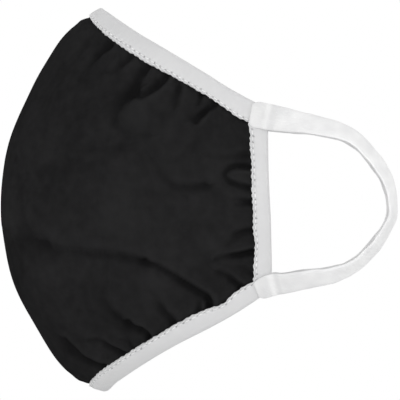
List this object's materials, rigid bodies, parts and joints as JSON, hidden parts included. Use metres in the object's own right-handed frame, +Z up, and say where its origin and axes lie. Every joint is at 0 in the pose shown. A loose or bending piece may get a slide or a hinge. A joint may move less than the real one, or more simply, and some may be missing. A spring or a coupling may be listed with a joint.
{
  "type": "cloth face mask",
  "caption": "Contoured cloth face mask in its worn shape, seamed down the front, with folded binding over its edges and a flat tape loop at each side for the ears.",
  "frame": {"origin": "midway between the two side edges at half their height, on the plane through them, where the wearer's face fills the mask", "axes": "+Z up, -Y forward out of the nose, +X to the wearer's left"},
  "size_m": [0.1308, 0.1468, 0.1418],
  "materials": {
    "black_jersey": "matt near-black knitted cloth, gathered a little at the bindings",
    "white_binding": "matt white folded tape with two rows of stitches near its inner edge",
    "white_loop_tape": "matt white soft knitted tape"
  },
  "bodies": {
    "root": {"panel_left": "black_jersey", "panel_right": "black_jersey", "top_binding": "white_binding", "bottom_binding": "white_binding", "side_binding_left": "white_binding", "side_binding_right": "white_binding", "ear_loop_left": "white_loop_tape", "ear_loop_right": "white_loop_tape"}
  },
  "joints": []
}
